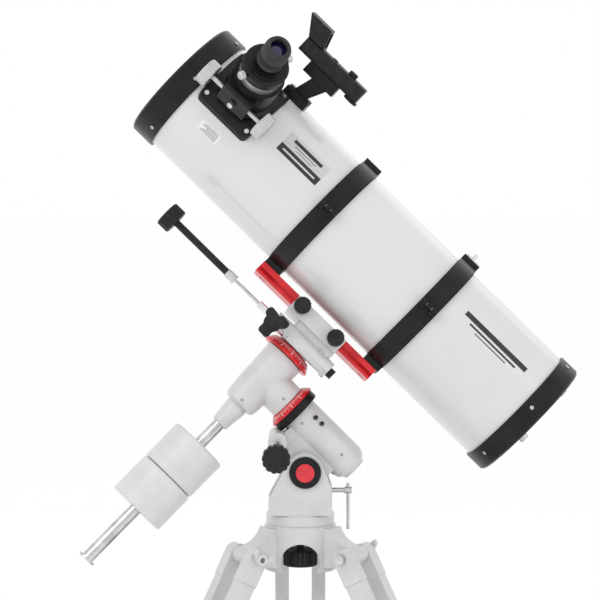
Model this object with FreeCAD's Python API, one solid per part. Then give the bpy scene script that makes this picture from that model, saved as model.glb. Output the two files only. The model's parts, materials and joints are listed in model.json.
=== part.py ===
import FreeCAD, Part
import os
from math import acos, cos, degrees, pi, radians, sin

V = FreeCAD.Vector

# A 150 mm f/5 Newtonian telescope on a German equatorial mount and an aluminium tripod.
# Millimetres, +Z up.  Until the last step the azimuth axis is the Z axis, the mount's polar
# plane is XZ, and the operator stands on the -Y side.

# ---- driving dimensions: tripod ----
HEAD_TOP = 715.0            # height of the tripod head's top face
LEG_ANGLES = (90.0, 210.0, 330.0)
LEG_SPLAY = 28.0            # from vertical, spread
HINGE_RADIUS = 86.4         # leg hinge from the azimuth axis
HINGE_Z = 675.0
RAIL_WIDTH = 19.5           # tangential
RAIL_DEPTH = 25.0           # radial
RAIL_GAP = 33.4
RAIL_WALL = 1.8
RAIL_TOP = 38.0             # distances down the leg from its hinge
RAIL_BOTTOM = 640.0
EXTENSION_TOP = 130.0
EXTENSION_BOTTOM = 740.0
BRACE_AT = 380.0            # brace pivot down the leg
BRACE_INSET = 22.0          # and inwards of the leg's centre line
BRACE_LENGTH = 240.0
HUB_PIVOT_RADIUS = 34.0
HINGE_BOLT_R = 4.0
RUN = 0.05                  # radial clearance of a running fit

# ---- driving dimensions: mount ----
LATITUDE = 45.0
CROSSING = V(-51.4, 0, 916.6)       # where the polar and declination axes cross
POLAR_TURN = 10.0           # turned away from the operator at rest, degrees
DEC_TURN = 4.0
ALTITUDE_AXIS = V(6.7, 0, 790.7)
CHEEK_FACE = 44.0
TONGUE_HALF = 19.4
POLAR_SHAFT_R = 15.0
DEC_SHAFT_R = 14.0
BAR_R = 9.0
BAR_END = 347.0             # from the crossing, away from the tube
WEIGHT_R = 42.7
WEIGHT_LENGTH = 62.0
WEIGHT_INNER_AT = 190.0     # outer end of the inner weight
WEIGHT_OUTER_AT = 253.0
WORM_OUT = 67.5             # declination worm axis: along the declination axis
WORM_NEAR = 30.0            # and towards the operator
CIRCLE_OUT = 56.0           # outer face of the declination circle
LOCK_AT = V(4, 60, -18)     # inner end of the lock knob's boss
LOCK_KNOB_AT = 49.5         # lock knob's inner face, along its stud
POLAR_WORM_BACK = 65.0      # polar worm axis: down the polar axis
POLAR_WORM_BELOW = 45.0     # and away from the tube
HANDLE_KNOB_R = 18.85
HANDLE_KNOB_LENGTH = 19.5

# ---- driving dimensions: optical tube, distances along it from the declination axis ----
TUBE_OUT = 220.5            # tube axis from the crossing, along the declination axis
TUBE_R = 92.0
TUBE_WALL = 1.5
TUBE_FRONT = 381.0
TUBE_REAR = -309.0
END_RING_R = 95.7
FRONT_RING_LENGTH = 37.0
REAR_RING_LENGTH = 31.0
RING_CENTRES = (99.4, -93.4)
RING_WIDTH = 28.0
RING_BORE = 92.4
RING_R = 97.5
RING_PAD = 104.0            # flat top of each ring, from the tube axis
SPLIT_HALF = 0.4            # half the slit between the two halves of a ring
BAR_LOW = 99.0              # dovetail bar, along the declination axis
BAR_HIGH = 117.0
BAR_FRONT = 114.0
BAR_REAR = -104.0
FOCUSER_AT = 291.0
FOCUSER_ANGLE = 22.0        # from the operator's side towards the outer side
DRAWTUBE_R = 30.0
EYEPIECE_BARREL_R = 15.875  # 1.25 inch
FINDER_ANGLE = 72.0
MIRROR_R = 75.0
STUD_R = 3.175              # 1/4 inch

X = V(1, 0, 0)
Y = V(0, 1, 0)
Z = V(0, 0, 1)
O = V(0, 0, 0)


# ---- shapes ----
def cylinder(start, axis, radius, length):
    return Part.makeCylinder(radius, length, start, axis)


def sleeve(start, axis, outer, inner, length):
    over = V(axis).normalize() * 1.0
    return cylinder(start, axis, outer, length).cut(cylinder(start - over, axis, inner, length + 2))


def block(low, high):
    size = V(*high) - V(*low)
    return Part.makeBox(size.x, size.y, size.z, V(*low))


def prism(points, along):
    """A closed outline of vectors, swept along a vector."""
    return Part.Face(Part.makePolygon(points + [points[0]])).extrude(along)


def outline_xz(points, y_low, y_high):
    """A closed (x, z) outline, swept from y_low to y_high."""
    return prism([V(x, y_low, z) for x, z in points], V(0, y_high - y_low, 0))


def lathe(profile, start=O, axis=Z):
    """A closed (along, radius) outline, turned about an axis."""
    points = [V(radius, 0, along) for along, radius in profile]
    solid = Part.Face(Part.makePolygon(points + [points[0]])).revolve(O, Z, 360)
    return turned_to(solid, start, axis)


def turned_to(shape, start, axis):
    """A shape built about Z, moved so that Z lies along the axis."""
    shape.Placement = FreeCAD.Placement(start, FreeCAD.Rotation(Z, axis)).multiply(shape.Placement)
    return shape


def fuse(shapes):
    return shapes[0].multiFuse(shapes[1:]).removeSplitter()


def together(shapes):
    """Separate solids that share one node."""
    return Part.makeCompound(shapes)


def mirrored_y(shape):
    return shape.mirror(O, Y)


def ribbed(start, axis, radius, length, ribs, groove):
    """A knob with rounded grooves down its rim and chamfered ends."""
    edge = min(1.5, length / 6)
    profile = [(0, 0), (0, radius - edge), (edge, radius), (length - edge, radius),
               (length, radius - edge), (length, 0)]
    body = lathe(profile)
    cuts = []
    for index in range(ribs):
        angle = 2 * pi * index / ribs
        place = V(cos(angle), sin(angle), 0) * (radius + groove * 0.45) - Z
        cuts.append(cylinder(place, Z, groove, length + 2))
    return turned_to(body.cut(cuts), start, axis)


def hexagon(start, axis, across, length):
    corner = across / 2 / cos(pi / 6)
    points = [V(corner * cos(k * pi / 3), corner * sin(k * pi / 3), 0) for k in range(6)]
    return turned_to(prism(points, V(0, 0, length)), start, axis)


def socket_screw(start, axis, radius, length):
    """A screw head with a hexagon socket."""
    head = cylinder(O, Z, radius, length)
    return turned_to(head.cut(hexagon(V(0, 0, length * 0.4), Z, radius, length)), start, axis)


def soften(shape, radius, keep):
    """Rounds the edges whose middle point the test keeps."""
    edges = [e for e in shape.Edges if keep(e.CenterOfMass, e)]
    return shape.makeFillet(radius, edges)


# ---- frames ----
def placement(origin, x_axis, y_axis):
    z_axis = x_axis.cross(y_axis)
    matrix = FreeCAD.Matrix(x_axis.x, y_axis.x, z_axis.x, origin.x,
                            x_axis.y, y_axis.y, z_axis.y, origin.y,
                            x_axis.z, y_axis.z, z_axis.z, origin.z,
                            0, 0, 0, 1)
    return FreeCAD.Placement(matrix)


def put(shape, *placements):
    """Carries a shape through placements, the innermost first."""
    for place in placements:
        shape.Placement = place.multiply(shape.Placement)
    return shape


# Mount frame: x up the polar axis (towards the sky), y out along the declination axis
# (towards the tube), z away from the operator.
FORWARD = V(-sin(radians(LATITUDE)), 0, cos(radians(LATITUDE)))
OUTWARD = V(cos(radians(LATITUDE)), 0, sin(radians(LATITUDE)))
MOUNT = placement(CROSSING, FORWARD, OUTWARD)
POLAR_REST = FreeCAD.Placement(O, FreeCAD.Rotation(X, POLAR_TURN))
DEC_REST = FreeCAD.Placement(O, FreeCAD.Rotation(Y, -DEC_TURN))
HEAD_FRAME = MOUNT.multiply(POLAR_REST)
DEC_FRAME = HEAD_FRAME.multiply(DEC_REST)


def around_tube(angle, along):
    """A frame on the tube axis: x along the tube, z radially out at an angle measured from
    the operator's side towards the outer side, y towards the mount's side."""
    outward = V(0, sin(radians(angle)), -cos(radians(angle)))
    return placement(V(along, TUBE_OUT, 0), X, outward.cross(X))


def leg_frame(angle, splay=LEG_SPLAY):
    """Leg frame: origin at the hinge, -z down the leg, x outwards, y along the hinge."""
    hang = FreeCAD.Placement(V(HINGE_RADIUS, 0, HINGE_Z), FreeCAD.Rotation(Y, -splay))
    return FreeCAD.Placement(O, FreeCAD.Rotation(Z, angle)).multiply(hang)


def upright_frame(angle):
    """World frame turned about the azimuth axis: x is radial."""
    return FreeCAD.Placement(O, FreeCAD.Rotation(Z, angle))


# ---- tripod ----
def tripod_head():
    shell = lathe([(650, 42), (650, 50), (712, 50), (HEAD_TOP, 47), (HEAD_TOP, 5.6), (700, 5.6), (700, 42)])
    for angle in (30, 150, 270):
        way = V(cos(radians(angle)), sin(radians(angle)), 0)
        shell = shell.cut(cylinder(V(0, 0, 664) + way * 25, way, 27, 40))
    parts = [shell]
    for angle in LEG_ANGLES:
        side = Part.makeLine(V(44, 0, 655), V(HINGE_RADIUS - 3, 0, HINGE_Z - 13))
        nose = Part.Arc(V(HINGE_RADIUS - 3, 0, HINGE_Z - 13), V(HINGE_RADIUS + 13.3, 0, HINGE_Z),
                        V(HINGE_RADIUS + 6, 0, HINGE_Z + 12)).toShape()
        top = Part.Arc(V(HINGE_RADIUS + 6, 0, HINGE_Z + 12), V(66, 0, 696), V(56, 0, 711)).toShape()
        close_top = Part.makeLine(V(56, 0, 711), V(44, 0, 711))
        close_in = Part.makeLine(V(44, 0, 711), V(44, 0, 655))
        lug = Part.Face(Part.Wire([side, nose, top, close_top, close_in]))
        half = RAIL_GAP / 2 - 0.5
        lug.translate(V(0, -half, 0))
        lug = lug.extrude(V(0, 2 * half, 0))
        parts.append(put(lug, upright_frame(angle)))
    head = fuse(parts)
    for angle in LEG_ANGLES:
        head = head.cut(put(cylinder(V(0, -40, 0), Y, HINGE_BOLT_R + RUN, 80), leg_frame(angle)))
    return head


def head_knob():
    knob = ribbed(V(0, 0, 654), Z, 24.5, 22, 14, 3.2)
    return fuse([knob, cylinder(V(0, 0, 670), Z, 5.5, 56)])


def hinge_bolts():
    bolts = []
    for angle in LEG_ANGLES:
        shank = cylinder(V(0, -38, 0), Y, HINGE_BOLT_R, 78)
        head = hexagon(V(0, -44, 0), Y, 13, 6)
        bolts.append(put(fuse([shank, head]), leg_frame(angle)))
    return together(bolts)


def wing_nuts():
    nuts = []
    for angle in LEG_ANGLES:
        hub = sleeve(V(0, 37.4, 0), Y, 8, HINGE_BOLT_R, 10)
        wings = [hub]
        for side in (-1, 1):
            points = [(6, -4), (17, 4), (17, 10), (11, 10), (6, 4)]
            wing = outline_xz([(side * x, z) for x, z in points], 39, 45)
            wings.append(wing)
        nuts.append(put(fuse(wings), leg_frame(angle)))
    return together(nuts)


def rail(side):
    inner = RAIL_GAP / 2
    low = [-RAIL_DEPTH / 2, inner, -RAIL_BOTTOM]
    high = [RAIL_DEPTH / 2, inner + RAIL_WIDTH, -RAIL_TOP]
    outside = block(low, high)
    inside = block([low[0] + RAIL_WALL, low[1] + RAIL_WALL, low[2] - 1],
                   [high[0] - RAIL_WALL, high[1] - RAIL_WALL, high[2] + 1])
    body = outside.cut(inside)
    return body if side > 0 else mirrored_y(body)


def rail_casting(side):
    inner = RAIL_GAP / 2
    edge = RAIL_DEPTH / 2 + 1
    body = block([-edge, inner, -RAIL_TOP], [edge, inner + RAIL_WIDTH + 1, 0])
    crown = cylinder(V(0, inner, 0), Y, edge, RAIL_WIDTH + 1)
    spigot = block([-RAIL_DEPTH / 2 + RAIL_WALL, inner + RAIL_WALL, -RAIL_TOP - 20],
                   [RAIL_DEPTH / 2 - RAIL_WALL, inner + RAIL_WIDTH - RAIL_WALL, -RAIL_TOP + 1])
    body = fuse([body, crown, spigot]).cut(cylinder(V(0, 0, 0), Y, HINGE_BOLT_R + RUN, 60))
    return body if side > 0 else mirrored_y(body)


def clamp_bracket():
    half = RAIL_GAP / 2 + RAIL_WIDTH
    low, high = -RAIL_BOTTOM - 12, -RAIL_BOTTOM + 38
    body = block([-17, -half - 3, low], [17, half + 3, high])
    body = soften(body, 4, lambda c, e: abs(e.BoundBox.ZLength - 50) < 0.1)
    body = body.cut(block([-RAIL_DEPTH / 2, -half, -RAIL_BOTTOM], [RAIL_DEPTH / 2, half, high + 1]))
    body = body.cut(block([-11.6, -16.7, low - 1], [11.6, 16.7, high]))
    boss = cylinder(V(16, 0, -RAIL_BOTTOM + 12), X, 9, 8)
    return fuse([body, boss]).cut(cylinder(V(10, 0, -RAIL_BOTTOM + 12), X, 4 + RUN, 30))


def clamp_knob():
    knob = ribbed(V(24.5, 0, -RAIL_BOTTOM + 12), X, 15, 14, 10, 2.4)
    return fuse([knob, cylinder(V(12, 0, -RAIL_BOTTOM + 12), X, 4, 14)])


def extension():
    outside = block([-11, -16.2, -EXTENSION_BOTTOM], [11, 16.2, -EXTENSION_TOP])
    return outside.cut(block([-9, -14.2, -EXTENSION_BOTTOM - 1], [9, 14.2, -EXTENSION_TOP - 2]))


def foot(angle):
    """A rubber shoe cut level where it stands."""
    shoe = block([-15, -20, -820], [15, 20, -700])
    shoe = soften(shoe, 5, lambda c, e: abs(e.BoundBox.ZLength - 120) < 0.1)
    shoe = shoe.cut(block([-11, -16.2, -EXTENSION_BOTTOM], [11, 16.2, -690]))
    shoe = put(shoe, leg_frame(angle))
    return shoe.cut(block([-900, -900, -200], [900, 900, 0]))


def brace_bracket():
    half = RAIL_GAP / 2 + RAIL_WIDTH - 3
    plate = block([-15.5, -half, -BRACE_AT - 14], [-12.5, half, -BRACE_AT + 14])
    parts = [plate]
    for side in (-1, 1):
        ear = outline_xz([(-14, -BRACE_AT - 9), (-14, -BRACE_AT + 9), (-28, -BRACE_AT + 6),
                          (-28, -BRACE_AT - 6)], 5, 8)
        parts.append(ear if side > 0 else mirrored_y(ear))
    parts.append(cylinder(V(-BRACE_INSET, -9, -BRACE_AT), Y, 3, 18))
    return fuse(parts)


def brace_points(splay):
    """Radius and height of the brace's pivot on a leg, and its slope up to the hub."""
    tilt = radians(splay)
    radius = HINGE_RADIUS - BRACE_INSET * cos(tilt) + BRACE_AT * sin(tilt)
    height = HINGE_Z - BRACE_INSET * sin(tilt) - BRACE_AT * cos(tilt)
    slope = degrees(acos((radius - HUB_PIVOT_RADIUS) / BRACE_LENGTH))
    return radius, height, slope


def hub_height(splay):
    radius, height, slope = brace_points(splay)
    return height + BRACE_LENGTH * sin(radians(slope))


def brace(angle):
    """A strut: an eye on the leg's pin, and a fork that straddles an ear of the hub."""
    radius, height, slope = brace_points(LEG_SPLAY)
    bar = block([0, -4.6, -6], [BRACE_LENGTH - 40, 4.6, 6])
    eye = cylinder(V(0, -4.6, 0), Y, 6, 9.2)
    body = fuse([bar, eye]).cut(cylinder(V(0, -10, 0), Y, 3 + RUN, 20))
    cheeks = []
    for side in (-1, 1):
        cheek = fuse([block([BRACE_LENGTH - 52, 4.6, -6], [BRACE_LENGTH, 8.2, 6]),
                      cylinder(V(BRACE_LENGTH, 4.6, 0), Y, 6, 3.6)])
        cheeks.append(cheek if side > 0 else mirrored_y(cheek))
    body = fuse([body] + cheeks)
    lie = FreeCAD.Placement(V(radius, 0, height), FreeCAD.Rotation(Y, 180 + slope))
    return put(body, lie, upright_frame(angle))


def spreader_hub():
    pivot = hub_height(LEG_SPLAY)
    parts = [lathe([(pivot + 20, 0), (pivot + 20, 46), (pivot + 25, 46), (pivot + 25, 0)])]
    for angle in LEG_ANGLES:
        ear = outline_xz([(24, pivot + 21), (26, pivot - 4), (31, pivot - 8), (38, pivot - 8),
                          (42, pivot - 3), (42, pivot + 21)], -2.6, 2.6)
        parts.append(put(ear, upright_frame(angle)))
    return fuse(parts)


TRAY_LOBES = (30, 150, 270)
TRAY_HOLE_AT = 84.0
TRAY_HOLE_R = 16.1
TRAY_THICK = 3.0


def spreader_tray():
    level = hub_height(LEG_SPLAY) + 25
    parts = [cylinder(V(0, 0, level), Z, 60, TRAY_THICK)]
    for angle in TRAY_LOBES:
        lobe = block([0, -36, level], [TRAY_HOLE_AT, 36, level + TRAY_THICK])
        tip = cylinder(V(TRAY_HOLE_AT, 0, level), Z, 36, TRAY_THICK)
        lip = sleeve(V(TRAY_HOLE_AT, 0, level), Z, 36, 34, 8).cut(
            block([-100, -100, level - 1], [TRAY_HOLE_AT, 100, level + 20]))
        parts.append(put(fuse([lobe, tip, lip]), upright_frame(angle)))
    tray = fuse(parts)
    for angle in TRAY_LOBES:
        hole = cylinder(V(TRAY_HOLE_AT, 0, level - 5), Z, TRAY_HOLE_R, 30)
        tray = tray.cut(put(hole, upright_frame(angle)))
    return tray


# ---- mount base ----
def azimuth_base():
    flange = lathe([(HEAD_TOP, 0), (HEAD_TOP, 47.8), (728, 47.8), (731.5, 44.3), (750, 44.3), (750, 0)])
    ax, az = ALTITUDE_AXIS.x, ALTITUDE_AXIS.z
    cheeks = []
    for side in (-1, 1):
        web = outline_xz([(-44, 730), (44, 730), (44, 764), (ax + 24, az + 10), (ax, az + 22),
                          (ax - 24, az + 10), (-44, 750)], 20, CHEEK_FACE)
        boss = cylinder(V(ax, 20, az), Y, 26, CHEEK_FACE - 20)
        cheek = fuse([web, boss])
        cheeks.append(cheek if side > 0 else mirrored_y(cheek))
    wall = block([35, -21, 745], [44, 21, 767])
    trunk = cylinder(V(0, 0, 715), Z, 62, 200)
    body = fuse([flange] + cheeks + [wall]).common(trunk)
    body = body.cut(cylinder(V(ax, -60, az), Y, 6 + RUN, 120))
    body = body.cut(cylinder(V(30, 0, 760), X, 3.5 + RUN, 30))
    return body.cut(cylinder(V(0, 0, 714), Z, 5.6, 14))


def altitude_bolt():
    return cylinder(ALTITUDE_AXIS - Y * 50, Y, 6, 100)


def altitude_collars():
    collars = []
    for side in (-1, 1):
        profile = [(CHEEK_FACE, 6), (CHEEK_FACE, 22), (49, 22), (51, 20), (51, 13.2), (50, 13.2), (50, 6)]
        collar = lathe(profile, V(ALTITUDE_AXIS.x, 0, ALTITUDE_AXIS.z), Y * side)
        collars.append(collar)
    return together(collars)


def altitude_caps():
    caps = []
    for side in (-1, 1):
        cap = lathe([(50, 0), (50, 13), (52.5, 13), (54, 11.5), (54, 0)],
                    V(ALTITUDE_AXIS.x, 0, ALTITUDE_AXIS.z), Y * side)
        caps.append(cap)
    return together(caps)


def latitude_screw():
    shaft = cylinder(V(33, 0, 760), X, 3.5, 31)
    head = cylinder(V(62, 0, 760), X, 5, 10)
    bar = cylinder(V(67, 0, 705), Z, 2.3, 65)
    return fuse([shaft, head, bar])


# ---- polar axis, in the mount frame ----
def polar_housing():
    tube = lathe([(69, 0), (69, 27), (163, 27), (172, 23.5), (177, 18), (177, 0)], O, X * -1)
    foot_x, foot_y = -130.1, -47.9
    tongue = cylinder(V(foot_x, foot_y, -TONGUE_HALF), Z, 30, 2 * TONGUE_HALF)
    web = block([foot_x - 28, foot_y, -TONGUE_HALF], [foot_x + 40, -8, TONGUE_HALF])
    worm = cylinder(V(-POLAR_WORM_BACK - 8, -POLAR_WORM_BELOW, -46), Z, 13, 78)
    bridge = block([-100, -POLAR_WORM_BELOW - 4, -19], [-POLAR_WORM_BACK - 8, -18, 19])
    body = fuse([tube, tongue, web, worm, bridge])
    body = body.cut(cylinder(V(-POLAR_WORM_BACK - 4, 0, 0), X, 38.2, 60))
    body = body.cut(cylinder(V(foot_x, foot_y, -60), Z, 6 + RUN, 120))
    body = body.cut(cylinder(V(-POLAR_WORM_BACK - 8, -POLAR_WORM_BELOW, -60), Z, 4 + RUN, 60))
    return body.cut(cylinder(V(-112, 0, 0), X, POLAR_SHAFT_R + RUN, 60))


def polar_ring():
    ring = lathe([(57, 15.4), (57, 34), (58, 35), (68, 35), (68.9, 34), (68.9, 15.4)], O, X * -1)
    return ring


def polar_circle():
    return lathe([(47.4, 15.4), (47.4, 29), (55.6, 37), (56.7, 37), (56.7, 15.4)], O, X * -1)


def polar_cap():
    return lathe([(177, 0), (177, 17.5), (179, 17.5), (180, 16.5), (180, 0)], O, X * -1)


def polar_screws():
    return together([socket_screw(V(-x, y, z), V(0, y, z), 3.2, 3.5)
                     for x, y, z in ((88, 14, -23.1), (100, 14, -23.1))])


def slow_handle(sections, knob_at):
    """A slow-motion handle along +Z: turned sections (from, to, radius), then a ribbed knob."""
    parts = [cylinder(V(0, 0, low), Z, radius, high - low) for low, high, radius in sections]
    return parts, ribbed(V(0, 0, knob_at), Z, HANDLE_KNOB_R, HANDLE_KNOB_LENGTH, 13, 2.6)


def polar_handle():
    """Shaft, ferrule and sleeve of the polar slow-motion handle, and its knob."""
    sections = ((0, 47, 4), (47, 73, 5), (73, 100, 2.3), (100, 116, 6.5), (116, 205, 5))
    parts, knob = slow_handle(sections, 205)
    turn = FreeCAD.Placement(V(-POLAR_WORM_BACK - 8, -POLAR_WORM_BELOW, 0), FreeCAD.Rotation(X, 180))
    return put(together(parts), turn), put(knob, turn)


# ---- moving head, in its own frame: declination housing and counterweights ----
def dec_housing():
    trunk = lathe([(-51, 9), (-51, 20), (-48, 24), (-40, 25.6), (-15, 27.5), (42, 30), (42, 9)], O, Y)
    branch = cylinder(O, X * -1, 26.5, 47)
    shaft = cylinder(O, X * -1, POLAR_SHAFT_R, 110)
    body = fuse([trunk, branch, shaft])
    body = body.cut(cylinder(V(0, -60, 0), Y, BAR_R, 45))
    return body.cut(cylinder(V(0, -14, 0), Y, DEC_SHAFT_R + RUN, 80))


def bar_socket():
    return lathe([(51, BAR_R), (51, 15), (56, 16), (86, 12.6), (88, 12), (88, BAR_R)], O, Y * -1)


def counterweight_bar():
    return lathe([(16, 0), (16, BAR_R), (BAR_END, BAR_R), (BAR_END, 0)], O, Y * -1)


def bar_stop():
    return lathe([(BAR_END, 0), (BAR_END, 13), (BAR_END + 3, 13), (BAR_END + 4, 12), (BAR_END + 4, 0)],
                 O, Y * -1)


def counterweight(outer_end):
    low, high = outer_end - WEIGHT_LENGTH, outer_end
    body = lathe([(low, BAR_R + RUN), (low, 40.7), (low + 2, WEIGHT_R), (high - 2, WEIGHT_R), (high, 40.7),
                  (high, BAR_R + RUN)], O, Y * -1)
    return body.cut(cylinder(V(0, 14 - high, 20), Z, 4 + RUN, 40))


def weight_screw(outer_end):
    knob = ribbed(V(0, 14 - outer_end, WEIGHT_R + 0.5), Z, 10, 13, 10, 1.8)
    return fuse([knob, cylinder(V(0, 14 - outer_end, BAR_R + 12), Z, 4, WEIGHT_R - BAR_R - 10)])


def dec_circle():
    return lathe([(43, 14.4), (43, 38), (45, 39), (CIRCLE_OUT, 31), (CIRCLE_OUT, 14.4)], O, Y)


# ---- declination saddle, in the declination frame ----
def worm_housing():
    low = CIRCLE_OUT + 1
    profile = [(low, 24), (64, 26), (64, 0), (-12, 0), (-12, DEC_SHAFT_R), (low, DEC_SHAFT_R)]
    neck = lathe(profile, O, Y)
    body = block([-46, 63, -34], [22, 90.2, 24])
    body = soften(body, 7, lambda c, e: e.BoundBox.YLength > 27)
    worm = cylinder(V(-57, WORM_OUT, -WORM_NEAR), X, 13, 104)
    boss = cylinder(LOCK_AT, V(0.72, 0, -0.69), 10, 26)
    body = fuse([body, worm, boss]).cut(cylinder(O, Y, 60, CIRCLE_OUT + 1))
    body = fuse([neck, body])
    body = body.cut(cylinder(V(-60, WORM_OUT, -WORM_NEAR), X, 4 + RUN, 120))
    return body.cut(cylinder(LOCK_AT, V(0.72, 0, -0.69), 3 + RUN, LOCK_KNOB_AT))


def worm_cap():
    cap = block([-65.5, WORM_OUT - 6.5, -WORM_NEAR - 6.5], [-57.2, WORM_OUT + 6.5, -WORM_NEAR + 6.5])
    return soften(cap, 1.5, lambda c, e: e.BoundBox.XLength > 8)


def worm_screws():
    return together([socket_screw(V(x, 79, -34), V(0, 0, -1), 3.2, 3.5) for x in (2, -30)])


def dec_handle():
    sections = ((-108, 0, 4), (0, 25, 5), (25, 71.5, 2.3), (71.5, 87.5, 6.5), (87.5, 186, 5))
    parts, knob = slow_handle(sections, 186)
    turn = placement(V(52, WORM_OUT, -WORM_NEAR), Y, Z)
    return put(together(parts), turn), put(knob, turn)


def dec_lock():
    """A three-lobed lock knob on its stud."""
    way = V(0.72, 0, -0.69).normalize()
    lobes = [cylinder(O, Z, 12, 13)]
    for k in range(3):
        tip = V(cos(2 * pi * k / 3 + 0.5), sin(2 * pi * k / 3 + 0.5), 0)
        side = V(-tip.y, tip.x, 0)
        arm = prism([side * 7.5, side * -7.5, tip * 16.5 - side * 6, tip * 16.5 + side * 6], V(0, 0, 13))
        lobes.append(arm)
        lobes.append(cylinder(tip * 16.5, Z, 6.5, 13))
    knob = turned_to(fuse(lobes), LOCK_AT + way * LOCK_KNOB_AT, way)
    stud = cylinder(LOCK_AT + way * 8, way, 3, LOCK_KNOB_AT - 7)
    return knob, stud


def bar_section(clear):
    """The dovetail bar's (y, z) half-widths, grown by a clearance."""
    return [(BAR_LOW - clear, 22 + clear), (103 + clear * 0.4, 22 + clear), (109, 18.5 + clear),
            (BAR_HIGH, 18.5 + clear)]


def dovetail(clear, x_low, x_high):
    half = bar_section(clear)
    points = [V(x_low, y, z) for y, z in half] + [V(x_low, y, -z) for y, z in reversed(half)]
    return prism(points, V(x_high - x_low, 0, 0))


def saddle_plate():
    base = block([-46, 90.2, -40], [44.5, 114, 36])
    base = soften(base, 4, lambda c, e: e.BoundBox.YLength > 23)
    base = base.cut(dovetail(0.3, -60, 60)).cut(block([-60, 108, -18.8], [60, 120, 18.8]))
    for x in (-32, 32):
        base = base.cut(cylinder(V(x, 106, -60), Z, 4 + RUN, 37))
    return base


def saddle_knob(x):
    knob = ribbed(V(x, 106, -42.5), Z * -1, 12, 14, 16, 1.3)
    return fuse([knob, cylinder(V(x, 106, -23.5), Z * -1, 4, 20)])


# ---- tube rings and dovetail bar ----
def dovetail_bar():
    bar = dovetail(0, BAR_REAR, BAR_FRONT)
    for x in RING_CENTRES:
        bar = bar.cut(cylinder(V(x, BAR_LOW - 1, 0), Y, 5.5, 7)).cut(cylinder(V(x, BAR_LOW, 0), Y, 3.1, 30))
    return bar


def ring_bolts():
    bolts = []
    for x in RING_CENTRES:
        head = cylinder(V(x, BAR_LOW + 0.5, 0), Y, 5, 5.5)
        bolts.append(fuse([head, cylinder(V(x, BAR_LOW + 5, 0), Y, 3.1, 20)]))
    return together(bolts)


def band(x):
    return sleeve(V(x - RING_WIDTH / 2, TUBE_OUT, 0), X, RING_R, RING_BORE, RING_WIDTH)


def bore(x):
    return cylinder(V(x - RING_WIDTH, TUBE_OUT, 0), X, RING_BORE, RING_WIDTH * 2)


HINGE_OUT = 102.0           # ring hinge pin from the tube axis, on the operator's side
KNUCKLE_R = 4.4
LUG_HOLE_R = 4.0


def knuckle(x_low, x_high):
    barrel = cylinder(V(x_low, TUBE_OUT, -HINGE_OUT), X, KNUCKLE_R, x_high - x_low)
    return barrel


def half_ring(x, outer):
    """One half of a tube ring: the outer half is away from the mount."""
    sign = 1 if outer else -1
    left, right = x - RING_WIDTH / 2, x + RING_WIDTH / 2
    third = RING_WIDTH / 3
    ears = [(left, left + third - 0.3), (right - third + 0.3, right)] if not outer else [
        (left + third + 0.3, right - third - 0.3)]
    side_low, side_high = (TUBE_OUT + SPLIT_HALF, 400) if outer else (0, TUBE_OUT - SPLIT_HALF)
    keep = block([left - 1, side_low, -150], [right + 1, side_high, 150])
    lug = block([x - 9, TUBE_OUT + (SPLIT_HALF if outer else -10), RING_R - 3],
                [x + 9, TUBE_OUT + (10 if outer else -SPLIT_HALF), RING_R + 14])
    parts = [band(x).common(keep), lug]
    if outer:
        pad = block([left, TUBE_OUT + 85, -15], [right, TUBE_OUT + RING_PAD, 15])
        parts.append(pad)
    else:
        parts.append(block([left, BAR_HIGH, -20], [right, TUBE_OUT - 80, 20]))
    ring = fuse(parts).cut(bore(x))
    clear = cylinder(V(left - 1, TUBE_OUT, -HINGE_OUT), X, KNUCKLE_R + 0.5, RING_WIDTH + 2)
    ring = ring.cut(clear)
    webs = []
    for low, high in ears:
        reach = block([low, TUBE_OUT + min(0, sign * 9), -HINGE_OUT - 0.5],
                      [high, TUBE_OUT + max(0, sign * 9), -RING_R + 3.5])
        webs.append(reach.cut(bore(x)))
        webs.append(knuckle(low, high))
    ring = fuse([ring] + webs)
    if outer:
        middle = block([left + third + 0.2, TUBE_OUT - 12, -HINGE_OUT - 6],
                       [right - third - 0.2, TUBE_OUT - SPLIT_HALF, -RING_R])
        spare = middle.cut(knuckle(left, right))
        ring = ring.cut(spare)
    else:
        gap = cylinder(V(left + third - 0.1, TUBE_OUT, -HINGE_OUT), X, KNUCKLE_R + 0.6, third + 0.2)
        ring = ring.cut(gap)
    ring = ring.cut(cylinder(V(left - 1, TUBE_OUT, -HINGE_OUT), X, 1.8 if not outer else 1.8 + RUN,
                             RING_WIDTH + 2))
    ring = ring.cut(cylinder(V(x, TUBE_OUT - 20, RING_R + 6), Y, LUG_HOLE_R, 40))
    if outer:
        return ring
    return ring.cut(cylinder(V(x, BAR_HIGH - 1, 0), Y, 3.1, 9))


def ring_pins():
    return together([cylinder(V(x - RING_WIDTH / 2, TUBE_OUT, -HINGE_OUT), X, 1.8, RING_WIDTH)
                     for x in RING_CENTRES])


def ring_clamp(x):
    """The clamp screw of a ring; it swings away with the outer half."""
    knob = ribbed(V(x, TUBE_OUT + 10, RING_R + 6), Y, 9, 12, 12, 1.4)
    shank = cylinder(V(x, TUBE_OUT - 9, RING_R + 6), Y, 3, 20)
    collar = cylinder(V(x, TUBE_OUT + 1, RING_R + 6), Y, LUG_HOLE_R, 9.5)
    return fuse([knob, shank, collar])


def camera_stud():
    seat = V(RING_CENTRES[1], TUBE_OUT + RING_PAD, 0)
    return fuse([cylinder(seat, Y, 13, 3), cylinder(seat, Y, STUD_R, 12)])


# ---- optical tube ----
def along_tube(profile):
    """A closed (along, radius) outline, turned about the tube axis."""
    return lathe(profile, V(0, TUBE_OUT, 0), X)


def focuser_place():
    return around_tube(FOCUSER_ANGLE, FOCUSER_AT)


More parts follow.
